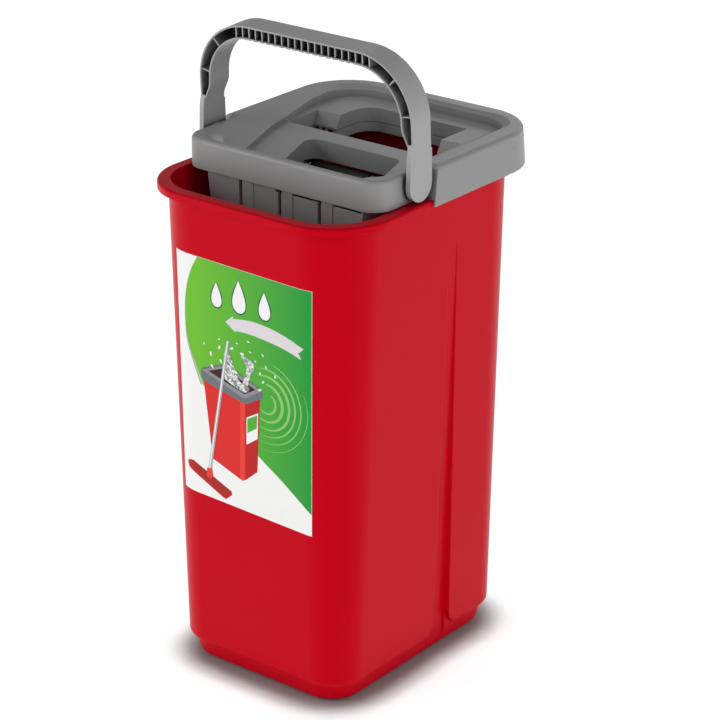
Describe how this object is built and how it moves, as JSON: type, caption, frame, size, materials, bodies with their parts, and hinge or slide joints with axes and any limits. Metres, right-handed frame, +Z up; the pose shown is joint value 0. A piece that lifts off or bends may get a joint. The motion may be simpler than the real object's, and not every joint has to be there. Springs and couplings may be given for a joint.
{
  "type": "flat mop bucket",
  "caption": "Tall flat-mop bucket with a folding carry handle and a lift-out wringer insert that has a mop slot, a squeegee and a sprung squeeze roller.",
  "frame": {"origin": "on the floor under the middle of the object's bounding box; the tub's feet stand at z = 0", "axes": "+Z up; +X to the right along the labelled front; -Y towards the front, where the pouring gap is"},
  "size_m": [0.206, 0.2477, 0.4985],
  "materials": {
    "tub_plastic": "satin-gloss moulded polypropylene, saturated red",
    "label_paper": "coated self-adhesive label, abstract printed pattern, no lettering",
    "grey_plastic": "satin moulded plastic, mid grey",
    "dark_plastic": "satin moulded plastic, black",
    "roller_plastic": "smooth acetal, off-white",
    "screw_steel": "zinc plated",
    "pin_steel": "ground stainless",
    "spring_steel": "drawn stainless wire",
    "blade_rubber": "smooth squeegee rubber",
    "sleeve_rubber": "soft grey roller rubber"
  },
  "bodies": {
    "bucket": {"bucket": "tub_plastic", "front_label": "label_paper"},
    "insert": {"top_frame": "grey_plastic", "slot_collar": "grey_plastic", "roller_housing": "grey_plastic", "left_cheek": "dark_plastic", "right_cheek": "dark_plastic", "housing_screws": "screw_steel", "cheek_screws": "screw_steel", "carrier_pin": "pin_steel", "left_guide_pin": "pin_steel", "right_guide_pin": "pin_steel"},
    "handle": {"handle": "grey_plastic"},
    "squeeze_carrier": {"squeeze_carrier": "dark_plastic", "torsion_springs": "spring_steel", "squeegee_blade": "blade_rubber", "blade_clamp": "dark_plastic", "blade_screws": "screw_steel", "roller_bushes": "roller_plastic"},
    "squeeze_roller": {"roller_core": "dark_plastic", "roller_sleeve": "sleeve_rubber", "roller_axle": "pin_steel"},
    "left_guide_roller": {"left_guide_roller": "roller_plastic"},
    "right_guide_roller": {"right_guide_roller": "roller_plastic"}
  },
  "joints": [
    {"name": "insert_lift", "type": "slide", "parent": "bucket", "child": "insert", "axis": [0, 0, 1], "range_m": [0, 0.15]},
    {"name": "handle_swing", "type": "hinge", "parent": "insert", "child": "handle", "pos_m": [0, -0.0338, 0.405], "axis": [1, 0, 0], "range_deg": [-28, 87]},
    {"name": "squeeze_swing", "type": "hinge", "parent": "insert", "child": "squeeze_carrier", "pos_m": [0.002, -0.002, 0.384], "axis": [1, 0, 0], "range_deg": [-15, 0], "stiffness_Nm_per_rad": 0.8, "springref_deg": 17.19},
    {"name": "roller_spin", "type": "hinge", "parent": "squeeze_carrier", "child": "squeeze_roller", "pos_m": [0.002, 0.014, 0.354], "axis": [1, 0, 0], "continuous": true},
    {"name": "left_guide_spin", "type": "hinge", "parent": "insert", "child": "left_guide_roller", "pos_m": [-0.0575, 0.056, 0.356], "axis": [1, 0, 0], "continuous": true},
    {"name": "right_guide_spin", "type": "hinge", "parent": "insert", "child": "right_guide_roller", "pos_m": [0.0615, 0.056, 0.356], "axis": [1, 0, 0], "continuous": true}
  ]
}
